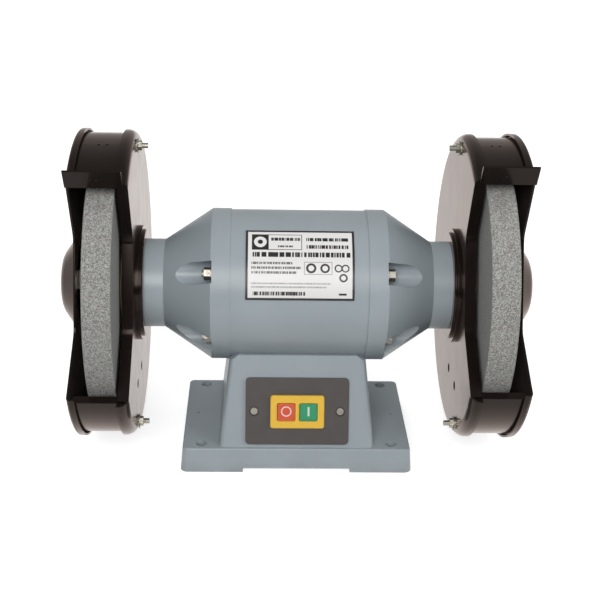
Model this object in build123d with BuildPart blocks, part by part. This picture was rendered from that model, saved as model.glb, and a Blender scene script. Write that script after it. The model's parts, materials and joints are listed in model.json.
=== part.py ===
from build123d import *
import os
from math import cos, radians, sin

# Twin-wheel bench grinder, 250 mm wheels.
# X runs along the shaft, -Y faces the operator, +Z is up.
# The origin is the centre of the base's underside, on the bench top.

os.makedirs("parts", exist_ok=True)

# ---------------------------------------------------------------- shaft line
axis_y = 11.0
axis_z = 157.5

# ---------------------------------------------------------------- clearances
running_gap = 0.05  # radial, a shaft or ball in its race
body_gap = 0.4  # between pieces that move past each other
seat_gap = 0.1  # a static piece dropped into its seat
screw_gap = 0.4  # radial, a screw in its clearance hole

# ---------------------------------------------------------------- motor shell
tube_r = 70.0
tube_wall = 4.0
tube_half = 62.5
bell_r = 71.0
bell_corner_x = 80.0
bell_wall = 5.0
bell_spigot = 8.0
neck_start_x = 124.0
neck_end_x = 142.0
neck_r = 41.5
stator_half = 40.0
stator_bore_r = 36.0
winding_length = 15.0
winding_inner_r = 40.0
winding_outer_r = 55.0
slot_count = 24
slot_width = 4.0
slot_depth = 15.0
slot_land = 2.0  # from the bore to the slots
slot_liner = 0.5  # round the copper at the ends of each slot
slot_side_liner = 0.3
air_gap = 0.4
rotor_cage_ring = 8.0
rotor_ring_inner_gap = 6.0
rotor_ring_outer_gap = 2.0

tie_bolt_angle = 31.0
tie_bolt_radius = 60.0
tie_bolt_r = 3.0
tie_head_r = 5.8
tie_head_height = 6.0
tie_washer_r = 6.8
tie_washer_t = 1.0
tie_bolt_tail = 2.0  # thread showing past each nut
tie_boss_wall = 4.5
pocket_r = 10.5
pocket_seat_x = 79.0
pocket_wall = 3.5
pocket_mouth_half = 10.2  # half width of the pocket where it opens outwards
bearing_lip = 4.0
seal_lip = 5.0

# ---------------------------------------------------------------- bearings and shaft
bearing_x = 118.0
bearing_width = 15.0
bearing_bore_r = 12.5
bearing_outer_r = 26.0
race_wall = 3.6
ball_r = 3.9
ball_count = 9
ball_pitch_r = 19.25
cage_half_wall = 0.6
cage_half_width = 4.6
wave_washer_t = 1.2
shaft_core_r = 15.0
arbor_r = 10.0
arbor_start_x = 150.0
shaft_end_x = 211.0
seal_width = 3.0
shaft_tip_chamfer = 1.2

# ---------------------------------------------------------------- wheels
wheel_r = 125.0
wheel_width = 25.0
wheel_inner_x = 161.5
wheel_bore_r = 16.0
blotter_r = 50.0
blotter_t = 0.8
flange_r = 44.0
flange_t = 6.0
flange_land = 12.0  # width of the clamping face
flange_relief = 1.2
flange_hub_wall = 8.0
wheel_edge_chamfer = 0.5
arbor_nut_r = 17.3
arbor_nut_height = 12.0
arbor_washer_r = 19.0
arbor_washer_t = 2.0

# ---------------------------------------------------------------- wheel guards
guard_sheet = 1.8
guard_rim_r = 143.0
guard_rim_round = 9.0
guard_rim_lip = 2.0
guard_plate_x = 149.0
guard_cover_x = 202.0
guard_cover_r = 143.8
guard_cover_lip = 7.0
guard_cover_round = 3.0
band_sheet = 1.5
band_r = 139.9
band_cover_gap = 2.5
band_plate_gap = 5.5
opening_top_angle = 59.5
plate_low_angle = -26.5
cover_low_angle = -22.5
throat_top_y = -45.0
throat_top_z = 62.0
throat_low_y = -72.0
throat_low_z = -20.0
throat_round = 14.0
return_flange = 10.0
right_guard_turn = 4.0  # degrees that the right guard is set further back than the left
ring_r = 54.0
ring_step_r = 50.5
ring_step = 4.0
ring_bore_r = 28.0
dome_base_r = 50.0
dome_shoulder_r = 31.0
dome_shoulder = 13.5
dome_height = 18.0
dome_flat_r = 17.0
guard_screw_radius = 130.5
guard_screw_angles = (95.5, 197.0, -65.0)
guard_screw_r = 2.5
guard_nut_r = 4.6
guard_nut_height = 4.0
guard_washer_r = 6.0
guard_washer_t = 1.0
guard_head_r = 4.6
guard_head_height = 2.8
guard_screw_tail = 10.5
mount_screw_circle = 34.0
mount_screw_r = 2.5
mount_screw_count = 4
mount_screw_depth = 9.0
mount_screw_end_gap = 1.0
rest_hole_r = 4.5
rest_hole_z = -84.0
rest_hole_y = (-45.0, -8.0)
band_mark_r = 1.3
band_mark_spacing = 7.5
band_mark_angle = 83.0

# ---------------------------------------------------------------- spark arresters
lip_outer_r = 152.0
low_lip_r = 132.5
arrester_inner_r = 139.0
arrester_outer_r = 159.0
arrester_sheet = 2.0
arrester_overhang = 0.3
arrester_inner_gap = 4.0  # from the guard plate to the arrester
arrester_travel = 4.0
arrester_screw_radius = 148.0
arrester_screw_shift = 1.6  # of the screws' middle, away from the motor
arrester_screw_offset = 2.4
arrester_screw_r = 1.1
arrester_screw_recess = 0.5
arrester_head_r = 2.0
arrester_head_height = 1.6

# ---------------------------------------------------------------- base
base_width = 217.0
base_depth = 142.0
base_corner_r = 7.0
ledge_height = 24.0
ledge_top = 6.0
ledge_draft = 5.0
ledge_edge_r = 1.5
base_wall = 6.0
column_low_width = 145.0
column_low_depth = 132.0
column_top_width = 125.6
column_top_depth = 104.0
column_top_drop = 50.0
column_wall = 5.0
column_corner_r = 5.0
shoulder_width = 8.0
shoulder_drop = 5.5
saddle_floor = 6.0
saddle_relief = 1.0
saddle_end_gap = 0.2
cut_past = 1.0  # how far a cut runs past the face it opens
bolt_spacing_x = 178.0
bolt_spacing_y = 118.0
bolt_hole_r = 5.0
bolt_boss_r = 14.0
marker_hole_x = 94.5
marker_hole_r = 1.6
marker_hole_depth = 4.0
notch_width = 100.0
notch_height = 4.0
plate_sheet = 2.0
plate_edge_gap = 1.4
plate_post_x = 84.0
plate_post_y = 30.0
plate_post_r = 5.5
plate_screw_r = 2.0
plate_screw_head_r = 3.6
plate_screw_length = 12.0
saddle_bolt_x = 40.0
saddle_bolt_y = 18.0
saddle_bolt_r = 4.0
saddle_bolt_head_r = 7.5
saddle_bolt_head_height = 5.5
saddle_washer_r = 9.0
saddle_washer_t = 1.6
saddle_bolt_tail = 1.0

# ---------------------------------------------------------------- switch
switch_rise = 35.0
switch_plate_width = 96.0
switch_plate_height = 63.0
switch_plate_t = 3.0
switch_plate_corner_r = 4.0
switch_screw_x = 40.0
switch_screw_r = 1.8
switch_screw_head_r = 3.2
switch_counterbore_r = 4.4
switch_counterbore_depth = 1.6
switch_head_height = 1.2
switch_screw_length = 9.0
recess_arm = 2.5
recess_width = 0.9
recess_depth = 0.6
frame_width = 50.0
frame_height = 31.0
frame_t = 3.6
frame_corner_r = 2.5
frame_chamfer = 0.8
button_size = 16.2
button_offset = 10.3
button_corner_r = 1.5
button_proud = 1.6
button_travel = 3.0
button_stem = 10.0
button_stem_length = 9.0
button_skirt = 1.0
button_edge_r = 0.6
switch_body_width = 44.0
switch_body_height = 26.0
switch_body_depth = 30.0

# ---------------------------------------------------------------- electrics
gland_x = -45.0
gland_z = 42.0
gland_bore_r = 4.25
gland_body_r = 8.0
gland_nut_r = 11.5
gland_nut_t = 6.0
gland_cap_length = 16.0
gland_cap_inset = 1.5
gland_cap_taper = 8.0
gland_tail = 14.0
capacitor_r = 17.5
capacitor_length = 72.0
capacitor_y = 38.0
capacitor_z = 42.0
capacitor_edge_r = 1.5
clamp_sheet = 1.5
clamp_width = 16.0
terminal_length = 54.0
terminal_depth = 18.0
terminal_height = 16.0
terminal_x = 25.0
terminal_y = -6.0
terminal_screw_r = 2.2
terminal_ways = 5
earth_screw_x = -55.0
earth_screw_r = 2.5
earth_head_r = 4.6
earth_head_height = 3.0
earth_boss_height = 6.0

# ---------------------------------------------------------------- nameplate
nameplate_t = 0.8
nameplate_half_width = 48.7
nameplate_angle = 38.3
nameplate_span = 54.6

# ---------------------------------------------------------------- worked out
shaft_axis = Axis((0, axis_y, axis_z), (1, 0, 0))
tube_bore_r = tube_r - tube_wall
stator_r = tube_bore_r - seat_gap
rotor_r = stator_bore_r - air_gap
guard_lip_r = guard_rim_r - guard_sheet
wheel_outer_x = wheel_inner_x + wheel_width
guard_middle_x = (guard_plate_x + guard_cover_x) / 2
band_start_x = guard_plate_x + band_plate_gap
band_end_x = guard_cover_x - guard_sheet - band_cover_gap
column_top_z = axis_z - column_top_drop
lean_run = (axis_y - column_top_depth / 2) + column_low_depth / 2
lean_rise = column_top_z - ledge_height
lean_length = (lean_run**2 + lean_rise**2) ** 0.5
face_up = (0, lean_run / lean_length, lean_rise / lean_length)
face_out = (0, -lean_rise / lean_length, lean_run / lean_length)
switch_centre = (
    0,
    -column_low_depth / 2 + switch_rise * face_up[1],
    ledge_height + switch_rise * face_up[2],
)
saddle_z = axis_z - tube_r - saddle_floor
tie_boss_r = tie_bolt_r + tie_boss_wall
seal_seat_r = bearing_outer_r - seal_lip
shaft_seal_r = bearing_bore_r + body_gap
slot_middle_r = stator_bore_r + slot_depth / 2 + slot_land
flange_inner_x = wheel_inner_x - blotter_t - flange_t
flange_relief_r = flange_r - flange_land
arrester_back = band_sheet + body_gap
arrester_middle_x = guard_middle_x + arrester_screw_shift
button_well = button_stem_length + button_travel + button_skirt
back_lean = (column_low_depth / 2 - (axis_y + column_top_depth / 2)) / lean_rise
gland_seat_y = column_low_depth / 2 - (gland_z - gland_nut_r - ledge_height) * back_lean


def shaft_section():
    """Plane through the shaft line: local x along X, local y radially up."""
    return Plane(origin=(0, axis_y, axis_z), x_dir=(1, 0, 0), z_dir=(0, -1, 0))


def cross_plane(x):
    """Plane across the shaft at x: local x to the back, local y up, normal +X."""
    return Plane(origin=(x, axis_y, axis_z), x_dir=(0, 1, 0), z_dir=(1, 0, 0))


def radial_plane(angle):
    """Plane through the shaft line at an angle above the front: local y points outwards."""
    turn = radians(angle)
    return Plane(origin=(0, axis_y, axis_z), x_dir=(1, 0, 0), z_dir=(0, -sin(turn), -cos(turn)))


def switch_plane(height=0.0):
    """Plane on the column's leaning front face, raised outwards by height."""
    return Plane(origin=switch_centre, x_dir=(1, 0, 0), z_dir=face_out).offset(height)


def around(radius, angles):
    """Points round the shaft in a cross plane, each angle counted up from the front."""
    return [(-radius * cos(radians(a)), radius * sin(radians(a))) for a in angles]


def save(piece, name):
    piece.part.label = name
    export_step(piece.part, "parts/" + name + ".step")
    return piece


def ring(x_start, x_end, r_inner, r_outer):
    """Adds a ring round the shaft to the part being built."""
    with BuildSketch(cross_plane(x_start)) as section:
        Circle(r_outer)
        if r_inner > 0:
            Circle(r_inner, mode=Mode.SUBTRACT)
    extrude(section.sketch, amount=x_end - x_start)


def place_side(side):
    """Turns a piece built on the right into the left one when side is -1."""
    if side < 0:
        mirror(about=Plane.YZ, mode=Mode.REPLACE)


def place_guard(piece, side):
    """Puts a guard piece built in the left guard's pose on the right, turned back, or on the left."""
    if side > 0:
        add(piece.part.rotate(shaft_axis, -right_guard_turn), mode=Mode.REPLACE)
    place_side(side)


def pair_guards(pieces):
    """Adds the left guard's pieces to the right ones, which are turned back with their guard."""
    left = mirror(pieces.part, about=Plane.YZ, mode=Mode.PRIVATE)
    add(pieces.part.rotate(shaft_axis, -right_guard_turn), mode=Mode.REPLACE)
    add(left)


def side_name(name, side):
    return name + ("_right" if side > 0 else "_left")


tie_angles = (tie_bolt_angle, -tie_bolt_angle, 180 - tie_bolt_angle, 180 + tie_bolt_angle)
tie_points = around(tie_bolt_radius, tie_angles)
mount_angles = [45 + 360 * i / mount_screw_count for i in range(mount_screw_count)]
mount_points = around(mount_screw_circle, mount_angles)
guard_screw_points = around(guard_screw_radius, guard_screw_angles)
arrester_points = [(arrester_middle_x + k * arrester_screw_offset, arrester_screw_radius) for k in (-1, 1)]
lip_slot_points = [(x, r - arrester_travel / 2) for x, r in arrester_points]
plate_post_points = [(x, y) for x in (-plate_post_x, plate_post_x) for y in (-plate_post_y, plate_post_y)]
saddle_points = [
    (x, axis_y + y) for x in (-saddle_bolt_x, saddle_bolt_x) for y in (-saddle_bolt_y, saddle_bolt_y)
]


# ================================================================ base
def build_base_pedestal():
    with BuildPart() as base:
        with BuildSketch():
            RectangleRounded(base_width, base_depth, base_corner_r)
        extrude(amount=ledge_height, taper=ledge_draft)
        fillet(base.faces().sort_by(Axis.Z)[-1].edges(), radius=ledge_edge_r)
        with BuildSketch(Plane.XY.offset(ledge_height)):
            RectangleRounded(column_low_width, column_low_depth, column_corner_r)
        with BuildSketch(Plane.XY.offset(column_top_z)):
            with Locations((0, axis_y)):
                RectangleRounded(column_top_width, column_top_depth, column_corner_r)
        loft()
        # Sloping shoulders where the saddle's ends drop away.
        with BuildSketch(Plane.XZ.offset(-base_depth)):
            for side in (-1, 1):
                with BuildLine():
                    Polyline(
                        (side * (column_top_width / 2 - shoulder_width), column_top_z + cut_past),
                        (side * (column_top_width / 2 - shoulder_width), column_top_z),
                        (side * column_top_width / 2, column_top_z - shoulder_drop),
                        (side * (column_top_width / 2 + shoulder_width), column_top_z - shoulder_drop),
                        (side * (column_top_width / 2 + shoulder_width), column_top_z + cut_past),
                        close=True,
                    )
                make_face()
        extrude(amount=2 * base_depth, mode=Mode.SUBTRACT)
        # Saddle for the motor tube, relieved where the end bells start.
        saddle_end_x = tube_half - saddle_end_gap
        with BuildSketch(cross_plane(-saddle_end_x)):
            Circle(tube_r)
        extrude(amount=2 * saddle_end_x, mode=Mode.SUBTRACT)
        for side in (-1, 1):
            with BuildSketch(cross_plane(side * saddle_end_x)):
                Circle(bell_r + saddle_relief)
            extrude(amount=side * column_low_width, mode=Mode.SUBTRACT)
        # Hollow under the ledge and inside the column.
        with BuildSketch():
            RectangleRounded(base_width - 2 * base_wall, base_depth - 2 * base_wall, base_corner_r / 2)
        extrude(amount=ledge_height - ledge_top, taper=ledge_draft, mode=Mode.SUBTRACT)
        with BuildSketch(Plane.XY.offset(ledge_height - ledge_top)):
            RectangleRounded(
                column_low_width - 2 * column_wall, column_low_depth - 2 * column_wall, column_corner_r / 2
            )
        climb = (saddle_z - ledge_height) / lean_rise
        top_width = column_low_width + climb * (column_top_width - column_low_width)
        top_depth = column_low_depth + climb * (column_top_depth - column_low_depth)
        with BuildSketch(Plane.XY.offset(saddle_z)):
            with Locations((0, climb * axis_y)):
                RectangleRounded(
                    top_width - 2 * column_wall, top_depth - 2 * column_wall, column_corner_r / 2
                )
        loft(mode=Mode.SUBTRACT)
        # Bosses for the bench bolts and posts for the bottom plate.
        with BuildSketch():
            with GridLocations(bolt_spacing_x, bolt_spacing_y, 2, 2):
                Circle(bolt_boss_r)
            RectangleRounded(
                base_width - base_wall, base_depth - base_wall, base_corner_r, mode=Mode.INTERSECT
            )
        extrude(amount=ledge_height - ledge_top)
        with BuildSketch(Plane.XY.offset(plate_sheet)):
            with GridLocations(2 * plate_post_x, 2 * plate_post_y, 2, 2):
                Circle(plate_post_r)
        extrude(amount=ledge_height - ledge_top - plate_sheet)
        with BuildSketch():
            with GridLocations(bolt_spacing_x, bolt_spacing_y, 2, 2):
                Circle(bolt_hole_r)
        extrude(amount=ledge_height, mode=Mode.SUBTRACT)
        with BuildSketch(Plane.XY.offset(plate_sheet)):
            with GridLocations(2 * plate_post_x, 2 * plate_post_y, 2, 2):
                Circle(plate_screw_r)
        extrude(amount=plate_screw_length, mode=Mode.SUBTRACT)
        with BuildSketch(Plane.XY.offset(ledge_height - marker_hole_depth)):
            with GridLocations(2 * marker_hole_x, 0, 2, 1):
                Circle(marker_hole_r)
        extrude(amount=2 * marker_hole_depth, mode=Mode.SUBTRACT)
        # Relief along the bench at front and back.
        with BuildSketch(Plane.XZ.offset(-base_depth)):
            with Locations((0, notch_height / 2)):
                Rectangle(notch_width, notch_height)
        extrude(amount=2 * base_depth, mode=Mode.SUBTRACT)
        # Switch window and its two fixing holes.
        with BuildSketch(switch_plane(cut_past)):
            Rectangle(switch_body_width + 2 * seat_gap, switch_body_height + 2 * seat_gap)
        extrude(amount=-3 * column_wall, mode=Mode.SUBTRACT)
        with BuildSketch(switch_plane(cut_past)):
            with GridLocations(2 * switch_screw_x, 0, 2, 1):
                Circle(switch_screw_r)
        extrude(amount=-3 * column_wall, mode=Mode.SUBTRACT)
        # Cord gland hole through the back wall.
        with BuildSketch(Plane(origin=(gland_x, 0, gland_z), x_dir=(1, 0, 0), z_dir=(0, 1, 0))):
            Circle(gland_body_r + seat_gap)
        extrude(amount=base_depth, mode=Mode.SUBTRACT)
        # Holes for the bolts that pull the motor into the saddle.
        with BuildSketch(Plane.XY.offset(axis_z - tube_r - 3 * saddle_floor)):
            with Locations((0, axis_y)):
                with GridLocations(2 * saddle_bolt_x, 2 * saddle_bolt_y, 2, 2):
                    Circle(saddle_bolt_r + screw_gap)
        extrude(amount=6 * saddle_floor, mode=Mode.SUBTRACT)
    return save(base, "base_pedestal")


def build_bottom_plate():
    with BuildPart() as plate:
        with BuildSketch():
            RectangleRounded(
                base_width - 2 * base_wall - 2 * plate_edge_gap,
                base_depth - 2 * base_wall - 2 * plate_edge_gap,
                base_corner_r / 2,
            )
            with GridLocations(bolt_spacing_x, bolt_spacing_y, 2, 2):
                Circle(bolt_boss_r + body_gap, mode=Mode.SUBTRACT)
            with GridLocations(2 * plate_post_x, 2 * plate_post_y, 2, 2):
                Circle(plate_screw_r + seat_gap, mode=Mode.SUBTRACT)
        extrude(amount=plate_sheet)
        for x, y in plate_post_points:
            with BuildSketch(Plane.XY):
                with Locations((x, y)):
                    Circle(plate_screw_head_r + seat_gap)
            with BuildSketch(Plane.XY.offset(plate_sheet)):
                with Locations((x, y)):
                    Circle(plate_screw_r + seat_gap)
            loft(mode=Mode.SUBTRACT)
    return save(plate, "base_bottom_plate")


def build_bottom_plate_screws():
    with BuildPart() as screws:
        for x, y in plate_post_points:
            with BuildSketch(Plane.XY.offset(seat_gap)):
                with Locations((x, y)):
                    Circle(plate_screw_head_r)
            with BuildSketch(Plane.XY.offset(plate_sheet)):
                with Locations((x, y)):
                    Circle(plate_screw_r)
            loft()
            with BuildSketch(Plane.XY.offset(plate_sheet)):
                with Locations((x, y)):
                    Circle(plate_screw_r)
            extrude(amount=plate_screw_length - 2 * plate_sheet)
    return save(screws, "bottom_plate_screws")


def build_saddle_bolts():
    with BuildPart() as bolts:
        with BuildSketch(Plane.XY.offset(saddle_z - saddle_washer_t)):
            with Locations(*saddle_points):
                Circle(saddle_washer_r)
        extrude(amount=saddle_washer_t)
        with BuildSketch(Plane.XY.offset(saddle_z - saddle_washer_t - saddle_bolt_head_height)):
            with Locations(*saddle_points):
                RegularPolygon(saddle_bolt_head_r, 6)
        extrude(amount=saddle_bolt_head_height)
        with BuildSketch(Plane.XY.offset(saddle_z)):
            with Locations(*saddle_points):
                Circle(saddle_bolt_r)
        extrude(amount=saddle_floor + tube_wall + saddle_bolt_tail)
    return save(bolts, "saddle_bolts")


# ================================================================ motor
def build_motor_tube():
    with BuildPart() as tube:
        ring(-tube_half, tube_half, tube_bore_r, tube_r)
        with BuildSketch(Plane.XY.offset(saddle_z)):
            with Locations(*saddle_points):
                Circle(saddle_bolt_r)
        extrude(amount=2 * saddle_floor + tube_wall, mode=Mode.SUBTRACT)
    return save(tube, "motor_tube")


def build_end_bell(side):
    """Casting with a short skirt, a cone, a neck and the bearing seat inside."""
    cavity_start_x = tube_half - bell_spigot
    cavity_end_x = bearing_x - wave_washer_t - bearing_lip
    # The space inside, less the bosses of the tie bolts and the barrels round the pockets.
    with BuildPart() as cavity:
        with BuildSketch(shaft_section()):
            with BuildLine():
                Polyline(
                    (cavity_start_x, 0),
                    (cavity_start_x, tube_bore_r - bell_wall),
                    (bell_corner_x - bell_wall / 2, bell_r - 2 * bell_wall),
                    (cavity_end_x, neck_r - bell_wall),
                    (cavity_end_x, 0),
                    close=True,
                )
            make_face()
        revolve(axis=shaft_axis)
        with BuildSketch(cross_plane(tube_half)):
            with Locations(*tie_points):
                Circle(tie_boss_r)
        extrude(amount=pocket_seat_x - tube_half, mode=Mode.SUBTRACT)
        with BuildSketch(cross_plane(pocket_seat_x - bell_wall)):
            with Locations(*tie_points):
                Circle(pocket_r + pocket_wall)
        extrude(amount=neck_end_x, mode=Mode.SUBTRACT)
    with BuildPart() as bell:
        with BuildSketch(shaft_section()):
            with BuildLine():
                Polyline(
                    (tube_half, bell_r),
                    (bell_corner_x, bell_r),
                    (neck_start_x, neck_r),
                    (neck_end_x, neck_r),
                    (neck_end_x, seal_seat_r),
                    (bearing_x + bearing_width, seal_seat_r),
                    (bearing_x + bearing_width, bearing_outer_r),
                    (bearing_x - wave_washer_t, bearing_outer_r),
                    (bearing_x - wave_washer_t, bearing_outer_r - bearing_lip),
                    (cavity_end_x, bearing_outer_r - bearing_lip),
                    (cavity_end_x, 0),
                    (cavity_start_x, 0),
                    (cavity_start_x, tube_bore_r - seat_gap),
                    (tube_half, tube_bore_r - seat_gap),
                    close=True,
                )
            make_face()
        revolve(axis=shaft_axis)
        add(cavity.part, mode=Mode.SUBTRACT)
        # Pockets for the bolt heads, round inside and open outwards, each with a flat seat.
        with BuildSketch(cross_plane(pocket_seat_x)):
            with Locations(*tie_points):
                Circle(pocket_r)
            for angle in tie_angles:
                with Locations(Location((0, 0), 180 - angle)):
                    with Locations((tie_bolt_radius + bell_r / 2, 0)):
                        Rectangle(bell_r, 2 * pocket_mouth_half)
        extrude(amount=neck_end_x, mode=Mode.SUBTRACT)
        with BuildSketch(cross_plane(tube_half - bell_spigot)):
            with Locations(*tie_points):
                Circle(tie_bolt_r + screw_gap)
        extrude(amount=neck_end_x, mode=Mode.SUBTRACT)
        with BuildSketch(cross_plane(neck_end_x - mount_screw_depth)):
            with Locations(*mount_points):
                Circle(mount_screw_r)
        extrude(amount=mount_screw_depth, mode=Mode.SUBTRACT)
        place_side(side)
    return save(bell, side_name("end_bell", side))


def build_tie_bolts():
    """Four long bolts with hexagon heads at the right and threaded ends at the left."""
    with BuildPart() as bolts:
        with BuildSketch(cross_plane(-pocket_seat_x - tie_washer_t - tie_head_height - tie_bolt_tail)):
            with Locations(*tie_points):
                Circle(tie_bolt_r)
        extrude(amount=2 * pocket_seat_x + tie_washer_t + tie_head_height + tie_bolt_tail)
        with BuildSketch(cross_plane(pocket_seat_x)):
            with Locations(*tie_points):
                Circle(tie_washer_r)
        extrude(amount=tie_washer_t)
        with BuildSketch(cross_plane(pocket_seat_x + tie_washer_t)):
            with Locations(*tie_points):
                RegularPolygon(tie_head_r, 6)
        extrude(amount=tie_head_height)
    return save(bolts, "tie_bolts")


def build_tie_bolt_nuts():
    with BuildPart() as nuts:
        with BuildSketch(cross_plane(-pocket_seat_x - tie_washer_t)):
            with Locations(*tie_points):
                Circle(tie_washer_r)
            with Locations(*tie_points):
                Circle(tie_bolt_r, mode=Mode.SUBTRACT)
        extrude(amount=tie_washer_t)
        with BuildSketch(cross_plane(-pocket_seat_x - tie_washer_t - tie_head_height)):
            with Locations(*tie_points):
                RegularPolygon(tie_head_r, 6)
            with Locations(*tie_points):
                Circle(tie_bolt_r, mode=Mode.SUBTRACT)
        extrude(amount=tie_head_height)
    return save(nuts, "tie_bolt_nuts")


def build_stator_core():
    """Laminated pack with winding slots inside and grooves for the tie bolts outside."""
    with BuildPart() as core:
        with BuildSketch(cross_plane(-stator_half)):
            Circle(stator_r)
            Circle(stator_bore_r, mode=Mode.SUBTRACT)
            with PolarLocations(slot_middle_r, slot_count):
                Rectangle(slot_depth, slot_width, mode=Mode.SUBTRACT)
            with Locations(*tie_points):
                Circle(tie_bolt_r + 2 * screw_gap, mode=Mode.SUBTRACT)
            with Locations(*around(tie_bolt_radius + tie_bolt_r, tie_angles)):
                Circle(tie_bolt_r + 2 * screw_gap, mode=Mode.SUBTRACT)
        extrude(amount=2 * stator_half)
    return save(core, "stator_core")


def build_stator_windings():
    """Copper in the slots, joined by a bundled ring past each end of the core."""
    with BuildPart() as windings:
        with BuildSketch(cross_plane(-stator_half)):
            with PolarLocations(slot_middle_r, slot_count):
                Rectangle(slot_depth - 2 * slot_liner, slot_width - 2 * slot_side_liner)
        extrude(amount=2 * stator_half)
        for start in (-stator_half - winding_length, stator_half):
            ring(start, start + winding_length, winding_inner_r, winding_outer_r)
    return save(windings, "stator_windings")


def build_wave_washer():
    with BuildPart() as washer:
        ring(-bearing_x, -bearing_x + wave_washer_t, bearing_outer_r - race_wall, bearing_outer_r - seat_gap)
    return save(washer, "wave_washer")


def build_shaft_seals():
    """Felt ring in the neck's mouth, clear of the turning shaft."""
    with BuildPart() as seal:
        ring(neck_end_x - seal_width, neck_end_x, shaft_seal_r, seal_seat_r)
        mirror(about=Plane.YZ)
    return save(seal, "shaft_seals")


# ================================================================ bearings
def build_outer_races():
    with BuildPart() as race:
        ring(bearing_x, bearing_x + bearing_width, bearing_outer_r - race_wall, bearing_outer_r)
        ball_groove()
        mirror(about=Plane.YZ)
    return save(race, "bearing_outer_races")


def build_inner_races():
    with BuildPart() as race:
        ring(bearing_x, bearing_x + bearing_width, bearing_bore_r, bearing_bore_r + race_wall)
        ball_groove()
        mirror(about=Plane.YZ)
    return save(race, "bearing_inner_races")


def ball_groove():
    """Cuts the ball track, a running gap larger than the balls."""
    middle = bearing_x + bearing_width / 2
    with BuildSketch(shaft_section()) as track:
        with Locations((middle, ball_pitch_r)):
            Circle(ball_r + running_gap)
    revolve(track.sketch, axis=shaft_axis, mode=Mode.SUBTRACT)


def build_bearing_balls(side):
    middle = bearing_x + bearing_width / 2
    with BuildPart() as balls:
        with Locations(cross_plane(middle)):
            with Locations(*around(ball_pitch_r, [360 * i / ball_count for i in range(ball_count)])):
                Sphere(ball_r)
        place_side(side)
    return save(balls, side_name("bearing_balls", side))


def build_bearing_cage(side):
    middle = bearing_x + bearing_width / 2
    with BuildPart() as cage:
        ring(
            middle - cage_half_width, middle + cage_half_width,
            ball_pitch_r - cage_half_wall, ball_pitch_r + cage_half_wall,
        )
        for i in range(ball_count):
            turn = radians(360 * i / ball_count)
            outwards = (0, -cos(turn), sin(turn))
            with BuildSketch(Plane(origin=(middle, axis_y, axis_z), x_dir=(1, 0, 0), z_dir=outwards)):
                Circle(ball_r + running_gap)
            extrude(amount=2 * ball_pitch_r, mode=Mode.SUBTRACT)
        place_side(side)
    return save(cage, side_name("bearing_cage", side))


# ================================================================ rotor
def build_shaft():
    """Stepped shaft: thick under the rotor, bearing journals, then the wheel arbors."""
    with BuildPart() as shaft:
        ring(-shaft_end_x, shaft_end_x, 0, arbor_r)
        ring(-arbor_start_x, arbor_start_x, 0, bearing_bore_r)
        ring(-bearing_x + seat_gap, bearing_x - seat_gap, 0, shaft_core_r)
        tips = shaft.edges().filter_by(GeomType.CIRCLE).group_by(Axis.X)
        chamfer(tips[0] + tips[-1], length=shaft_tip_chamfer)
    return save(shaft, "shaft")


def build_rotor_core():
    with BuildPart() as core:
        ring(-stator_half, stator_half, shaft_core_r, rotor_r)
    return save(core, "rotor_core")


def build_rotor_end_rings():
    with BuildPart() as rings:
        for start in (-stator_half - rotor_cage_ring, stator_half):
            ring(
                start, start + rotor_cage_ring,
                shaft_core_r + rotor_ring_inner_gap, rotor_r - rotor_ring_outer_gap,
            )
    return save(rings, "rotor_end_rings")


def build_inner_flange(side):
    """Clamping flange with a relieved face and a hub that stops on the shaft's step."""
    with BuildPart() as flange:
        ring(flange_inner_x, flange_inner_x + flange_t, arbor_r, flange_r)
        ring(arbor_start_x, flange_inner_x, arbor_r, arbor_r + flange_hub_wall)
        with BuildSketch(cross_plane(flange_inner_x + flange_t - flange_relief)):
            Circle(flange_relief_r)
        extrude(amount=flange_relief, mode=Mode.SUBTRACT)
        place_side(side)
    return save(flange, side_name("inner_flange", side))


def build_outer_flange(side):
    start = wheel_outer_x + blotter_t
    with BuildPart() as flange:
        ring(start, start + flange_t, arbor_r, flange_r)
        with BuildSketch(cross_plane(start)):
            Circle(flange_relief_r)
        extrude(amount=flange_relief, mode=Mode.SUBTRACT)
        outer = flange.edges().filter_by(GeomType.CIRCLE).group_by(Axis.X)[-1]
        chamfer(outer.sort_by(SortBy.RADIUS)[-1], length=flange_t / 3)
        place_side(side)
    return save(flange, side_name("outer_flange", side))


def build_wheel(side):
    with BuildPart() as wheel:
        ring(wheel_inner_x, wheel_outer_x, wheel_bore_r, wheel_r)
        rims = wheel.edges().filter_by(GeomType.CIRCLE).group_by(SortBy.RADIUS)[-1]
        chamfer(rims, length=wheel_edge_chamfer)
        place_side(side)
    return save(wheel, side_name("grinding_wheel", side))


def build_wheel_bushes():
    with BuildPart() as bush:
        ring(wheel_inner_x, wheel_outer_x, arbor_r, wheel_bore_r)
        mirror(about=Plane.YZ)
    return save(bush, "wheel_bushes")


def build_blotters():
    with BuildPart() as blotters:
        for start in (wheel_inner_x - blotter_t, wheel_outer_x):
            ring(start, start + blotter_t, wheel_bore_r, blotter_r)
        mirror(about=Plane.YZ)
    return save(blotters, "wheel_blotters")


def build_arbor_washer_and_nut(side):
    start = wheel_outer_x + blotter_t + flange_t
    with BuildPart() as nut:
        ring(start, start + arbor_washer_t, arbor_r, arbor_washer_r)
        with BuildSketch(cross_plane(start + arbor_washer_t)):
            RegularPolygon(arbor_nut_r, 6)
            Circle(arbor_r, mode=Mode.SUBTRACT)
        extrude(amount=arbor_nut_height)
        place_side(side)
    return save(nut, side_name("arbor_nut", side))


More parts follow.
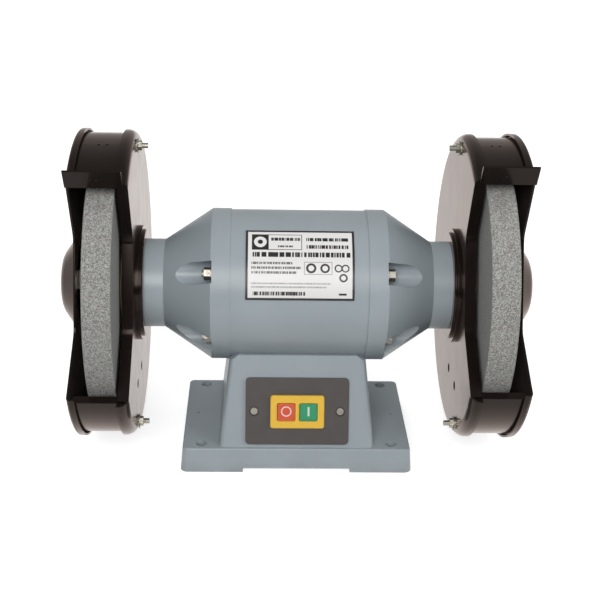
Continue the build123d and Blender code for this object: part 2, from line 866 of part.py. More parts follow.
# ================================================================ wheel guards
def opening_sketch(low_angle, grow=0.0):
    """Outline of a guard's mouth down to low_angle in a cross plane, grown outwards by grow."""
    top_y, top_z = around(guard_rim_r, (opening_top_angle,))[0]
    low_y, low_z = around(guard_rim_r, (low_angle,))[0]
    with BuildSketch(mode=Mode.PRIVATE) as mouth:
        with BuildLine():
            FilletPolyline(
                (3 * top_y - 2 * throat_top_y, 3 * top_z - 2 * throat_top_z),
                (throat_top_y, throat_top_z),
                (throat_low_y, throat_low_z),
                (3 * low_y - 2 * throat_low_y, 3 * low_z - 2 * throat_low_z),
                (-3 * guard_rim_r, throat_top_z),
                radius=throat_round,
                close=True,
            )
        make_face()
        if grow:
            offset(amount=grow, kind=Kind.ARC)
    return mouth.sketch


def build_guard_plate(side):
    """Pressed inner plate with a rolled rim and a flange turned in along the mouth."""
    round_centre_r = guard_rim_r - guard_rim_round
    round_centre_x = guard_plate_x + guard_rim_round
    inner_round = guard_rim_round - guard_sheet
    with BuildPart() as plate:
        with BuildSketch(shaft_section()):
            with BuildLine():
                Line((guard_plate_x, ring_bore_r), (guard_plate_x, round_centre_r))
                RadiusArc(
                    (guard_plate_x, round_centre_r), (round_centre_x, guard_rim_r), guard_rim_round
                )
                Polyline(
                    (round_centre_x, guard_rim_r),
                    (round_centre_x + guard_rim_lip, guard_rim_r),
                    (round_centre_x + guard_rim_lip, guard_lip_r),
                    (round_centre_x, guard_lip_r),
                )
                RadiusArc(
                    (round_centre_x, guard_lip_r), (guard_plate_x + guard_sheet, round_centre_r), -inner_round
                )
                Polyline(
                    (guard_plate_x + guard_sheet, round_centre_r),
                    (guard_plate_x + guard_sheet, ring_bore_r),
                    (guard_plate_x, ring_bore_r),
                )
            make_face()
        revolve(axis=shaft_axis)
        with BuildSketch(cross_plane(guard_plate_x - cut_past)):
            add(opening_sketch(plate_low_angle))
        extrude(amount=guard_cover_x - guard_plate_x, mode=Mode.SUBTRACT)
        with BuildSketch(cross_plane(guard_plate_x)):
            add(opening_sketch(plate_low_angle, guard_sheet))
            add(opening_sketch(plate_low_angle), mode=Mode.SUBTRACT)
            Circle(round_centre_r + inner_round / 2, mode=Mode.INTERSECT)
        extrude(amount=return_flange)
        with BuildSketch(cross_plane(guard_plate_x)):
            with Locations(*guard_screw_points):
                Circle(guard_screw_r + screw_gap)
        extrude(amount=guard_sheet, mode=Mode.SUBTRACT)
        place_guard(plate, side)
        # The holes for the neck screws and for a work rest are level on both sides.
        with BuildSketch(cross_plane(side * guard_plate_x)):
            with Locations(*mount_points):
                Circle(mount_screw_r + screw_gap)
            with Locations(*[(y, rest_hole_z) for y in rest_hole_y]):
                Circle(rest_hole_r)
        extrude(amount=side * guard_sheet, mode=Mode.SUBTRACT)
    return save(plate, side_name("guard_plate", side))


def build_guard_ring(side):
    """Stepped spacer between the neck and the guard plate."""
    with BuildPart() as spacer:
        ring(neck_end_x, guard_plate_x - ring_step, ring_bore_r, ring_step_r)
        ring(guard_plate_x - ring_step, guard_plate_x, ring_bore_r, ring_r)
        with BuildSketch(cross_plane(neck_end_x)):
            with Locations(*mount_points):
                Circle(mount_screw_r + screw_gap)
        extrude(amount=guard_plate_x - neck_end_x, mode=Mode.SUBTRACT)
        face = spacer.edges().filter_by(GeomType.CIRCLE).group_by(Axis.X)[0]
        fillet(face.sort_by(SortBy.RADIUS)[-1], radius=ring_step / 3)
        place_side(side)
    return save(spacer, side_name("guard_mount_ring", side))


def build_guard_band(side):
    """Rolled strip round the wheel, lipped outwards above the mouth and inwards below it."""
    top_start = guard_plate_x + guard_rim_round + guard_rim_lip + seat_gap
    top_end = guard_cover_x - guard_cover_lip - seat_gap
    low_start = guard_plate_x + return_flange + seat_gap
    band_inner_r = band_r - band_sheet
    far = 3 * guard_rim_r
    middle_angle = (opening_top_angle + plate_low_angle) / 2
    with BuildPart() as band:
        with BuildSketch(cross_plane(band_start_x)):
            Circle(band_r)
            Circle(band_inner_r, mode=Mode.SUBTRACT)
            with BuildLine():
                Polyline(
                    (0, 0),
                    *around(far, (opening_top_angle, middle_angle, plate_low_angle)),
                    close=True,
                )
            make_face(mode=Mode.SUBTRACT)
        extrude(amount=band_end_x - band_start_x)
        with BuildSketch(radial_plane(opening_top_angle)):
            with Locations(((top_start + top_end) / 2, (band_inner_r + lip_outer_r) / 2)):
                Rectangle(top_end - top_start, lip_outer_r - band_inner_r)
        extrude(amount=band_sheet)
        with BuildSketch(radial_plane(plate_low_angle)):
            with Locations(((low_start + band_end_x) / 2, (band_r + low_lip_r) / 2)):
                Rectangle(band_end_x - low_start, band_r - low_lip_r)
        extrude(amount=-band_sheet)
        # Slots for the arrester's screws.
        slot_width = 2 * (arrester_screw_r + body_gap)
        with BuildSketch(radial_plane(opening_top_angle)):
            with Locations(*lip_slot_points):
                SlotOverall(arrester_travel + slot_width, slot_width, rotation=90)
        extrude(amount=band_sheet, mode=Mode.SUBTRACT)
        with BuildSketch(radial_plane(band_mark_angle - 90)):
            with Locations(*[(guard_middle_x + k * band_mark_spacing / 2, 0) for k in (-1, 1)]):
                Circle(band_mark_r)
        extrude(amount=-far, mode=Mode.SUBTRACT)
        place_guard(band, side)
    return save(band, side_name("guard_band", side))


def build_guard_cover(side):
    """Outer cap with a lip over the band and a dome over the arbor nut."""
    inner_x = guard_cover_x - guard_sheet
    lip_x = guard_cover_x - guard_cover_lip
    cover_lip_r = guard_cover_r - guard_sheet
    inner_round = guard_cover_round - guard_sheet
    dome_x = guard_cover_x + dome_height
    shoulder_x = guard_cover_x + dome_shoulder
    with BuildPart() as cover:
        with BuildSketch(shaft_section()):
            with BuildLine():
                Line((lip_x, guard_cover_r), (guard_cover_x - guard_cover_round, guard_cover_r))
                RadiusArc(
                    (guard_cover_x - guard_cover_round, guard_cover_r),
                    (guard_cover_x, guard_cover_r - guard_cover_round),
                    guard_cover_round,
                )
                Polyline(
                    (guard_cover_x, guard_cover_r - guard_cover_round),
                    (guard_cover_x, dome_base_r),
                    (shoulder_x, dome_shoulder_r),
                )
                Spline(
                    (shoulder_x, dome_shoulder_r),
                    (dome_x, dome_flat_r),
                    tangents=((dome_shoulder, dome_shoulder_r - dome_base_r), (0, -1)),
                )
                Polyline(
                    (dome_x, dome_flat_r),
                    (dome_x, 0),
                    (dome_x - guard_sheet, 0),
                    (dome_x - guard_sheet, dome_flat_r - guard_sheet / 2),
                )
                Spline(
                    (dome_x - guard_sheet, dome_flat_r - guard_sheet / 2),
                    (shoulder_x - guard_sheet, dome_shoulder_r - guard_sheet / 2),
                    tangents=((0, 1), (-dome_shoulder, dome_base_r - dome_shoulder_r)),
                )
                Polyline(
                    (shoulder_x - guard_sheet, dome_shoulder_r - guard_sheet / 2),
                    (inner_x, dome_base_r - guard_sheet / 2),
                    (inner_x, guard_cover_r - guard_cover_round),
                )
                RadiusArc(
                    (inner_x, guard_cover_r - guard_cover_round),
                    (guard_cover_x - guard_cover_round, cover_lip_r),
                    -inner_round,
                )
                Polyline(
                    (guard_cover_x - guard_cover_round, cover_lip_r),
                    (lip_x, cover_lip_r),
                    (lip_x, guard_cover_r),
                )
            make_face()
        revolve(axis=shaft_axis)
        with BuildSketch(cross_plane(lip_x - cut_past)):
            add(opening_sketch(cover_low_angle))
        extrude(amount=3 * dome_height, mode=Mode.SUBTRACT)
        with BuildSketch(cross_plane(inner_x)):
            with Locations(*guard_screw_points):
                Circle(guard_screw_r + screw_gap)
        extrude(amount=guard_sheet, mode=Mode.SUBTRACT)
        place_guard(cover, side)
    return save(cover, side_name("guard_cover", side))


def build_guard_screws():
    """Long screws across both guards, heads outside, threads towards the motor."""
    start = guard_plate_x - guard_screw_tail
    with BuildPart() as screws:
        with BuildSketch(cross_plane(start)):
            with Locations(*guard_screw_points):
                Circle(guard_screw_r)
        extrude(amount=guard_cover_x - start)
        with BuildSketch(cross_plane(guard_cover_x)):
            with Locations(*guard_screw_points):
                Circle(guard_head_r)
        extrude(amount=guard_head_height)
        crowns = screws.edges().filter_by(GeomType.CIRCLE).group_by(Axis.X)[-1]
        fillet(crowns, radius=guard_head_height / 2)
        pair_guards(screws)
    return save(screws, "guard_screws")


def build_guard_nuts():
    with BuildPart() as nuts:
        with BuildSketch(cross_plane(guard_plate_x - guard_washer_t)):
            with Locations(*guard_screw_points):
                Circle(guard_washer_r)
            with Locations(*guard_screw_points):
                Circle(guard_screw_r, mode=Mode.SUBTRACT)
        extrude(amount=guard_washer_t)
        with BuildSketch(cross_plane(guard_plate_x - guard_washer_t - guard_nut_height)):
            with Locations(*guard_screw_points):
                RegularPolygon(guard_nut_r, 6)
            with Locations(*guard_screw_points):
                Circle(guard_screw_r, mode=Mode.SUBTRACT)
        extrude(amount=guard_nut_height)
        pair_guards(nuts)
    return save(nuts, "guard_screw_nuts")


def build_mount_screws():
    """Screws through the guard plate and the ring into each neck."""
    end = guard_plate_x + guard_sheet
    with BuildPart() as screws:
        with BuildSketch(cross_plane(neck_end_x - mount_screw_depth + mount_screw_end_gap)):
            with Locations(*mount_points):
                Circle(mount_screw_r)
        extrude(amount=end - neck_end_x + mount_screw_depth - mount_screw_end_gap)
        with BuildSketch(cross_plane(end)):
            with Locations(*mount_points):
                Circle(guard_head_r)
        extrude(amount=guard_head_height / 2)
        mirror(about=Plane.YZ)
    return save(screws, "guard_mount_screws")


# ================================================================ spark arresters
def build_arrester(side):
    """Plate in front of the band's upper lip, with two threaded holes."""
    inner_end = guard_plate_x + arrester_inner_gap
    outer_end = guard_cover_x + arrester_overhang
    with BuildPart() as arrester:
        with BuildSketch(radial_plane(opening_top_angle).offset(arrester_back)):
            with Locations(((inner_end + outer_end) / 2, (arrester_inner_r + arrester_outer_r) / 2)):
                Rectangle(outer_end - inner_end, arrester_outer_r - arrester_inner_r)
            with Locations(*arrester_points):
                Circle(arrester_screw_r, mode=Mode.SUBTRACT)
        extrude(amount=arrester_sheet)
        place_guard(arrester, side)
    return save(arrester, side_name("spark_arrester", side))


def build_arrester_screws(side):
    """Screws from behind the lip, through its slots and threaded into the arrester."""
    tip = arrester_back + arrester_sheet - arrester_screw_recess
    with BuildPart() as screws:
        with BuildSketch(radial_plane(opening_top_angle).offset(-body_gap)):
            with Locations(*arrester_points):
                Circle(arrester_screw_r)
        extrude(amount=body_gap + tip)
        with BuildSketch(radial_plane(opening_top_angle).offset(-body_gap)):
            with Locations(*arrester_points):
                Circle(arrester_head_r)
        extrude(amount=-arrester_head_height)
        place_guard(screws, side)
    return save(screws, side_name("arrester_screws", side))


# ================================================================ switch
def build_switch_plate():
    with BuildPart() as plate:
        with BuildSketch(switch_plane()):
            RectangleRounded(switch_plate_width, switch_plate_height, switch_plate_corner_r)
            Rectangle(
                switch_body_width + 2 * seat_gap, switch_body_height + 2 * seat_gap, mode=Mode.SUBTRACT
            )
            with GridLocations(2 * switch_screw_x, 0, 2, 1):
                Circle(switch_screw_r + seat_gap, mode=Mode.SUBTRACT)
        extrude(amount=switch_plate_t)
        with BuildSketch(switch_plane(switch_plate_t - switch_counterbore_depth)):
            with GridLocations(2 * switch_screw_x, 0, 2, 1):
                Circle(switch_counterbore_r)
        extrude(amount=switch_counterbore_depth, mode=Mode.SUBTRACT)
    return save(plate, "switch_plate")


def build_switch_screws():
    seat = switch_plate_t - switch_counterbore_depth
    with BuildPart() as screws:
        with BuildSketch(switch_plane(seat)):
            with GridLocations(2 * switch_screw_x, 0, 2, 1):
                Circle(switch_screw_head_r)
        extrude(amount=switch_head_height)
        with BuildSketch(switch_plane(seat)):
            with GridLocations(2 * switch_screw_x, 0, 2, 1):
                Circle(switch_screw_r)
        extrude(amount=-switch_screw_length)
        for side in (-1, 1):
            with BuildSketch(switch_plane(seat + switch_head_height - recess_depth)):
                with Locations((side * switch_screw_x, 0)):
                    Rectangle(2 * recess_arm, recess_width)
                    Rectangle(recess_width, 2 * recess_arm)
            extrude(amount=recess_depth, mode=Mode.SUBTRACT)
    return save(screws, "switch_screws")


def build_switch_frame():
    with BuildPart() as frame:
        with BuildSketch(switch_plane(switch_plate_t)):
            RectangleRounded(frame_width, frame_height, frame_corner_r)
            well_size = button_size + 2 * body_gap
            with GridLocations(2 * button_offset, 0, 2, 1):
                RectangleRounded(well_size, well_size, button_corner_r, mode=Mode.SUBTRACT)
        extrude(amount=frame_t)
        rim = frame.faces().sort_by(Axis((0, 0, 0), face_out))[-1].outer_wire().edges()
        chamfer(rim, length=frame_chamfer)
    return save(frame, "switch_frame")


def build_switch_body():
    """Contact block behind the frame, with a well for each button's stem."""
    with BuildPart() as block:
        with BuildSketch(switch_plane(switch_plate_t)):
            Rectangle(switch_body_width, switch_body_height)
        extrude(amount=-switch_body_depth)
        with BuildSketch(switch_plane(switch_plate_t)):
            with GridLocations(2 * button_offset, 0, 2, 1):
                Rectangle(button_size + 2 * body_gap, button_size + 2 * body_gap)
        extrude(amount=-button_well, mode=Mode.SUBTRACT)
    return save(block, "switch_body")


def build_button(name, side):
    with BuildPart() as button:
        with BuildSketch(switch_plane(switch_plate_t + frame_t + button_proud)):
            with Locations((side * button_offset, 0)):
                RectangleRounded(button_size, button_size, button_corner_r)
        extrude(amount=-(frame_t + button_proud + button_skirt))
        with BuildSketch(switch_plane(switch_plate_t - button_skirt)):
            with Locations((side * button_offset, 0)):
                Rectangle(button_stem, button_stem)
        extrude(amount=-button_stem_length)
        face = button.faces().sort_by(Axis((0, 0, 0), face_out))[-1]
        fillet(face.edges(), radius=button_edge_r)
    return save(button, name)


# ================================================================ electrics and labels
def build_gland():
    """Cable gland through the back wall: hexagon, threaded tail and tapered cap."""
    with BuildPart() as gland:
        with BuildSketch(gland_plane(gland_seat_y)):
            RegularPolygon(gland_nut_r, 6)
        extrude(amount=gland_nut_t)
        with BuildSketch(gland_plane(gland_seat_y + gland_nut_t)):
            Circle(gland_nut_r - gland_cap_inset)
        extrude(amount=gland_cap_length, taper=gland_cap_taper)
        with BuildSketch(gland_plane(gland_seat_y)):
            Circle(gland_body_r)
        extrude(amount=-gland_tail)
        with BuildSketch(gland_plane(gland_seat_y - gland_tail)):
            Circle(gland_bore_r)
        extrude(amount=gland_tail + gland_nut_t + gland_cap_length, mode=Mode.SUBTRACT)
    return save(gland, "cord_gland")


def gland_plane(y):
    return Plane(origin=(gland_x, y, gland_z), x_dir=(-1, 0, 0), z_dir=(0, 1, 0))


def capacitor_plane(x):
    return Plane(origin=(x, capacitor_y, capacitor_z), x_dir=(0, 1, 0), z_dir=(1, 0, 0))


def build_capacitor():
    with BuildPart() as capacitor:
        with BuildSketch(capacitor_plane(0)):
            Circle(capacitor_r)
        extrude(amount=capacitor_length / 2, both=True)
        fillet(capacitor.edges().filter_by(GeomType.CIRCLE), radius=capacitor_edge_r)
    return save(capacitor, "capacitor")


def build_capacitor_clamp():
    """Half strap that holds the capacitor down on the bottom plate."""
    drop = capacitor_z - plate_sheet
    outer = capacitor_r + clamp_sheet
    with BuildPart() as clamp:
        with BuildSketch(capacitor_plane(-clamp_width / 2)):
            Circle(outer)
            with Locations((0, -drop / 2)):
                Rectangle(2 * outer, drop)
            Circle(capacitor_r, mode=Mode.SUBTRACT)
            with Locations((0, -drop / 2)):
                Rectangle(2 * capacitor_r, drop, mode=Mode.SUBTRACT)
        extrude(amount=clamp_width)
    return save(clamp, "capacitor_clamp")


def build_terminal_block():
    with BuildPart() as block:
        with BuildSketch(Plane.XY.offset(plate_sheet)):
            with Locations((terminal_x, terminal_y)):
                Rectangle(terminal_length, terminal_depth)
        extrude(amount=terminal_height)
        with BuildSketch(Plane.XY.offset(plate_sheet + terminal_height)):
            with Locations((terminal_x, terminal_y)):
                with GridLocations(terminal_length / terminal_ways, 0, terminal_ways, 1):
                    Circle(terminal_screw_r)
        extrude(amount=-terminal_height / 2, mode=Mode.SUBTRACT)
    return save(block, "terminal_block")


def build_earth_screw():
    """Earth terminal standing on the bottom plate."""
    with BuildPart() as screw:
        with BuildSketch(Plane.XY.offset(plate_sheet)):
            with Locations((earth_screw_x, 0)):
                RegularPolygon(earth_head_r, 6)
        extrude(amount=earth_boss_height)
        with BuildSketch(Plane.XY.offset(plate_sheet + earth_boss_height)):
            with Locations((earth_screw_x, 0)):
                Circle(earth_screw_r)
        extrude(amount=earth_boss_height / 2)
        with BuildSketch(Plane.XY.offset(plate_sheet + 1.5 * earth_boss_height)):
            with Locations((earth_screw_x, 0)):
                Circle(earth_head_r)
        extrude(amount=earth_head_height)
    return save(screw, "earth_screw")


def build_nameplate():
    """Thin plate curved round the tube, facing up towards the operator."""
    low = nameplate_angle - nameplate_span / 2
    high = nameplate_angle + nameplate_span / 2
    with BuildPart() as plate:
        with BuildSketch(cross_plane(-nameplate_half_width)):
            Circle(tube_r + nameplate_t)
            Circle(tube_r, mode=Mode.SUBTRACT)
            with BuildLine():
                Polyline((0, 0), *around(2 * tube_r, (low, nameplate_angle, high)), close=True)
            make_face(mode=Mode.INTERSECT)
        extrude(amount=2 * nameplate_half_width)
    return save(plate, "nameplate")


build_base_pedestal()
build_bottom_plate()
build_bottom_plate_screws()
build_saddle_bolts()
build_motor_tube()
build_tie_bolts()
build_tie_bolt_nuts()
build_stator_core()
build_stator_windings()
build_wave_washer()
build_shaft()
build_rotor_core()
build_rotor_end_rings()
build_blotters()
build_guard_screws()
build_guard_nuts()
build_mount_screws()
build_switch_plate()
build_switch_screws()
build_switch_frame()
build_switch_body()
build_button("stop_button", -1)
build_button("start_button", 1)
build_gland()
build_capacitor()
build_capacitor_clamp()
build_terminal_block()
build_earth_screw()
build_nameplate()
build_shaft_seals()
build_outer_races()
build_inner_races()
build_wheel_bushes()
for side in (-1, 1):
    build_end_bell(side)
    build_bearing_balls(side)
    build_bearing_cage(side)
    build_inner_flange(side)
    build_outer_flange(side)
    build_wheel(side)
    build_arbor_washer_and_nut(side)
    build_guard_plate(side)
    build_guard_ring(side)
    build_guard_band(side)
    build_guard_cover(side)
    build_arrester(side)
    build_arrester_screws(side)
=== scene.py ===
import json
import math

import bmesh
import bpy
from mathutils import Matrix, Vector


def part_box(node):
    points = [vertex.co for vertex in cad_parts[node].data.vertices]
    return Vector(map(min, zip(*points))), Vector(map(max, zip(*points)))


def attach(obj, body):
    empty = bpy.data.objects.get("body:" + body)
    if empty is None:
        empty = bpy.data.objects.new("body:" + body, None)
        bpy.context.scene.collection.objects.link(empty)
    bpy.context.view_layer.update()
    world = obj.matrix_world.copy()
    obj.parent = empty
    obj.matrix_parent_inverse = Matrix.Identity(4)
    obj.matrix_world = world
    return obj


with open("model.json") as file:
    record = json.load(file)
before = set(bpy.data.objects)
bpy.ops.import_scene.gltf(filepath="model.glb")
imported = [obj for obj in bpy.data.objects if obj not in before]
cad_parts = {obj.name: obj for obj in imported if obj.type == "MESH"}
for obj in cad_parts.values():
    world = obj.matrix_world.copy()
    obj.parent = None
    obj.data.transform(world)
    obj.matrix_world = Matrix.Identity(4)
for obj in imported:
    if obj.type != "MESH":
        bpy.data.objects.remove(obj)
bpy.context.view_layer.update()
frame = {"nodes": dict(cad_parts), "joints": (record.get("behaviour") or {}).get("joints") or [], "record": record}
nodes = frame["nodes"]
joints = {joint["name"]: joint for joint in frame["joints"]}
shaftLine = Vector(joints["shaft_spin"]["pos_m"])
faceIn = Vector(joints["stop_press"]["axis"]).normalized()  # straight into the leaning switch face
print("frame loaded:", len(nodes), "nodes")


class Wire:  # wraps a socket, so that shader maths reads as sums
    def __init__(self, recipe, socket):
        self.recipe = recipe
        self.socket = socket

    def maths(self, operation, *others):
        inputs = dict(enumerate((self,) + others))
        return self.recipe.node("Math", dict(operation=operation), inputs)

    def __add__(self, other):
        return self.maths("ADD", other)

    def __sub__(self, other):
        return self.maths("SUBTRACT", other)

    def __mul__(self, other):
        return self.maths("MULTIPLY", other)

    def __truediv__(self, other):
        return self.maths("DIVIDE", other)

    def __rsub__(self, other):
        return self * -1 + other

    __radd__ = __add__

    def __abs__(self):
        return self.maths("ABSOLUTE")


class Recipe:  # one material, or the sky, while its nodes are put together
    def __init__(self, name, kind=bpy.data.materials):
        self.owner = kind.new(name)
        self.owner.use_nodes = True
        self.tree = self.owner.node_tree
        self.tree.nodes.clear()

    def node(self, kind, settings=None, inputs=None, output=0):
        made = self.tree.nodes.new("ShaderNode" + kind)
        for key, value in (settings or {}).items():
            if key == "stops":
                self.setStops(made.color_ramp.elements, value)
            else:
                setattr(made, key, value)
        for key, value in (inputs or {}).items():
            if isinstance(value, Wire):
                self.tree.links.new(value.socket, made.inputs[key])
            else:
                made.inputs[key].default_value = value
        return Wire(self, made.outputs[output]) if made.outputs else made

    def setStops(self, elements, stops):
        while len(elements) < len(stops):
            elements.new(1.0)
        for element, (position, shade) in zip(elements, stops):
            element.position = position
            element.color = (shade, shade, shade, 1) if isinstance(shade, float) else shade

    def place(self, centre=(0, 0, 0), turn=(0, 0, 0), stretch=(1, 1, 1)):
        # object coordinates seen from a centre and turned to an axis; TEXTURE undoes both in one node
        where = self.node("TexCoord", output="Object")
        settings = dict(vector_type="TEXTURE")
        inputs = dict(Vector=where, Location=tuple(centre), Rotation=tuple(turn), Scale=stretch)
        return self.node("Mapping", settings, inputs)

    def split(self, vector):
        made = self.node("SeparateXYZ", inputs=dict(Vector=vector))
        outputs = made.socket.node.outputs
        return [Wire(self, outputs[i]) for i in range(3)]

    def noise(self, size, where=None, detail=2.0, roughness=0.5):
        inputs = dict(Scale=1 / size, Detail=detail, Roughness=roughness)
        inputs["Vector"] = where or self.place()
        return self.node("TexNoise", inputs=inputs)

    def cells(self, size, where=None, output="Distance"):
        inputs = dict(Scale=1 / size, Vector=where or self.place())
        return self.node("TexVoronoi", inputs=inputs, output=output)

    def ramp(self, value, *stops):
        return self.node("ValToRGB", dict(stops=stops), dict(Fac=value))

    def between(self, value, low, high):  # 0 below low, 1 above high
        inputs = {"Value": value, "From Min": low, "From Max": high}
        return self.node("MapRange", inputs=inputs)

    def mix(self, share, first, second):
        return self.node("Mix", dict(data_type="RGBA"), {0: share, 6: first, 7: second}, output=2)

    def bump(self, height, strength, depth, normal=None):
        inputs = dict(Height=height, Strength=strength, Distance=depth)
        if normal:
            inputs["Normal"] = normal
        return self.node("Bump", inputs=inputs)

    def finish(self, **values):
        inputs = {key.replace("_", " "): value for key, value in values.items()}
        skin = self.node("BsdfPrincipled", inputs=inputs)
        self.node("OutputMaterial", inputs=dict(Surface=skin))
        return self.owner


greyPaint = dict(
    colour=(0.355, 0.405, 0.435, 1),
    shade=(0.290, 0.335, 0.362, 1),
    darkTone=(0.190, 0.190, 0.180, 1),
    patch=0.045,
    peel=0.0016,
    grain=0.0005,
    speck=0.0035,
    darkBandTop=0.012,
    bumpDepth=0.00035,
    roughness=0.34,
)


def castPaint():
    # satin blue-grey enamel over a rough casting: slow patches, orange peel, darker patches towards the bottom and
    # dark specks
    recipe = Recipe("greyPaint")
    patches = recipe.noise(greyPaint["patch"], detail=3.0)
    peel = recipe.noise(greyPaint["peel"], detail=1.0)
    grain = recipe.noise(greyPaint["grain"], detail=2.0)
    height = recipe.split(recipe.place())[2]
    # darker in patches towards the bottom, within 12 mm of the floor
    low = recipe.between(height, greyPaint["darkBandTop"], 0.0) * recipe.between(patches, 0.35, 0.65) * 0.5
    speck = recipe.between(recipe.noise(greyPaint["speck"], detail=4.0, roughness=0.7), 0.68, 0.78) * 0.12
    colour = recipe.mix(recipe.between(patches, 0.3, 0.7) * 0.45, greyPaint["colour"], greyPaint["shade"])
    colour = recipe.mix(low + speck, colour, greyPaint["darkTone"])
    bumps = recipe.bump(peel + grain * 0.4, 0.22, greyPaint["bumpDepth"])
    return recipe.finish(
        Base_Color=colour,
        Roughness=patches * 0.12 + grain * 0.06 + (greyPaint["roughness"] - 0.06),
        Normal=bumps,
        Coat_Weight=0.15,
        Coat_Roughness=0.3,
    )


blackEnamel = dict(
    colour=(0.0150, 0.0105, 0.0090, 1),
    dust=(0.050, 0.038, 0.032, 1),
    film=(1.0, 0.80, 0.73, 1),
    tint=(0.95, 0.81, 0.75, 1),
    peel=0.0022,
    patch=0.03,
    speck=0.0012,
    bumpDepth=0.0003,
    metallic=0.55,
    roughness=0.15,
)


def guardEnamel():
    # glossy brown-black stove enamel on pressed sheet, with a little grinding dust
    recipe = Recipe("blackEnamel")
    patches = recipe.noise(blackEnamel["patch"], detail=4.0, roughness=0.6)
    peel = recipe.noise(blackEnamel["peel"], detail=1.0)
    specks = recipe.between(recipe.noise(blackEnamel["speck"], detail=3.0, roughness=0.7), 0.66, 0.8)
    dust = recipe.between(patches, 0.5, 0.8) * 0.10 + specks * 0.12
    return recipe.finish(
        Base_Color=recipe.mix(dust, blackEnamel["colour"], blackEnamel["dust"]),
        Roughness=patches * 0.12 + specks * 0.2 + (blackEnamel["roughness"] - 0.04),
        Normal=recipe.bump(peel, 0.10, blackEnamel["bumpDepth"]),
        Metallic=blackEnamel["metallic"],  # lets the brown show in the glancing shine
        Specular_IOR_Level=0.22,
        Specular_Tint=blackEnamel["tint"],
        Sheen_Weight=0.05,  # the dust film shows at a glancing angle
        Sheen_Tint=blackEnamel["film"],
        Sheen_Roughness=0.4,
    )


def metal(name, colour, worn, roughness, streak=(1, 1, 1), patch=0.012, grain=0.0007, depth=0.00005):
    # plated or bare metal: tone patches, a fine grain that can be drawn out into brush marks, dull spots
    recipe = Recipe(name)
    patches = recipe.noise(patch, detail=4.0, roughness=0.6)
    marks = recipe.noise(grain, where=recipe.place(stretch=streak), detail=3.0, roughness=0.6)
    dull = recipe.between(patches, 0.35, 0.75)
    return recipe.finish(
        Base_Color=recipe.mix(dull * 0.6 + marks * 0.25, colour, worn),
        Metallic=1.0,
        Roughness=marks * 0.16 + dull * 0.14 + (roughness - 0.12),
        Normal=recipe.bump(marks, 0.25, depth),
    )


sheetPitch = 0.0005


def lamination():
    # thin steel sheets stacked along the shaft, varnished at the edges
    recipe = Recipe("lamination")
    along = recipe.split(recipe.place())[0]
    sheets = (along / sheetPitch).maths("FRACT")
    gap = recipe.between(sheets, 0.25, 0.0)
    rust = recipe.between(recipe.noise(0.008, detail=4.0), 0.5, 0.75)
    colour = recipe.mix(rust * 0.5, (0.20, 0.19, 0.18, 1), (0.16, 0.08, 0.04, 1))
    return recipe.finish(
        Base_Color=recipe.mix(gap * 0.7, colour, (0.03, 0.025, 0.02, 1)),
        Metallic=0.8,
        Roughness=0.42 + rust * 0.3,
        Normal=recipe.bump(1 - gap, 0.4, 0.0001),
    )


wirePitch = 0.0011


def copperWire():
    # enamelled wire laid round the stator, tied with cord
    recipe = Recipe("copper")
    x, y, z = recipe.split(recipe.place(centre=shaftLine))
    turns = ((y * y + z * z).maths("SQRT") / wirePitch + recipe.noise(0.006) * 2).maths("FRACT")
    strands = recipe.between(abs(turns - 0.5), 0.5, 0.2)
    return recipe.finish(
        Base_Color=recipe.mix(strands, (0.10, 0.03, 0.012, 1), (0.50, 0.17, 0.06, 1)),
        Metallic=0.7,
        Roughness=0.48 - strands * 0.2,
        Normal=recipe.bump(strands, 0.5, 0.0004),
    )


wheelStone = dict(
    dark=(0.170, 0.169, 0.158, 1),
    middle=(0.350, 0.347, 0.328, 1),
    light=(0.62, 0.615, 0.59, 1),
    # side: darker tone of the wheel sides, painted shade
    side=(0.255, 0.255, 0.238, 1),
    grit=0.0007,
    fine=0.0004,
    bumpDepth=0.0006,
)


def abrasive():
    # grey corundum grit in a paler bond; the pressed sides are smoother than the dressed rim, and darker as
    # painted shade from inside the guard
    recipe = Recipe("abrasive")
    grit = recipe.split(recipe.cells(wheelStone["grit"], output="Color"))[0]
    fine = recipe.noise(wheelStone["fine"], detail=3.0, roughness=0.7)
    tone = grit * 0.55 + fine * 0.45
    stops = (0.22, wheelStone["dark"]), (0.5, wheelStone["middle"]), (0.82, wheelStone["light"])
    rim = recipe.ramp(tone, *stops)
    normal = recipe.node("NewGeometry", output="Normal")
    # faces along the shaft take the smoother side texture, darkened as painted shade
    side = recipe.between(abs(recipe.split(normal)[0]), 0.5, 0.8)
    shadedSide = recipe.mix(recipe.between(tone, 0.3, 0.75) * 0.55, wheelStone["side"], wheelStone["middle"])
    height = recipe.between(tone, 0.2, 0.8)
    return recipe.finish(
        Base_Color=recipe.mix(side * 0.72, rim, shadedSide),
        Roughness=0.86 + fine * 0.12,
        Normal=recipe.bump(height, 0.7, wheelStone["bumpDepth"]),
        Specular_IOR_Level=0.25,
    )


def plastic(name, colour, dusty, roughness, grain=0.0006, depth=0.00006, coat=0.0):
    # moulded plastic: an even fine texture, faint flow patches, dust in the texture
    recipe = Recipe(name)
    patches = recipe.noise(0.014, detail=3.0)
    texture = recipe.noise(grain, detail=2.0, roughness=0.6)
    dust = recipe.between(patches, 0.45, 0.8) * 0.22 + recipe.between(texture, 0.6, 0.8) * 0.2
    return recipe.finish(
        Base_Color=recipe.mix(dust, colour, dusty),
        Roughness=texture * 0.14 + patches * 0.08 + (roughness - 0.1),
        Normal=recipe.bump(texture, 0.35, depth),
        Coat_Weight=coat,
        Coat_Roughness=0.2,
    )


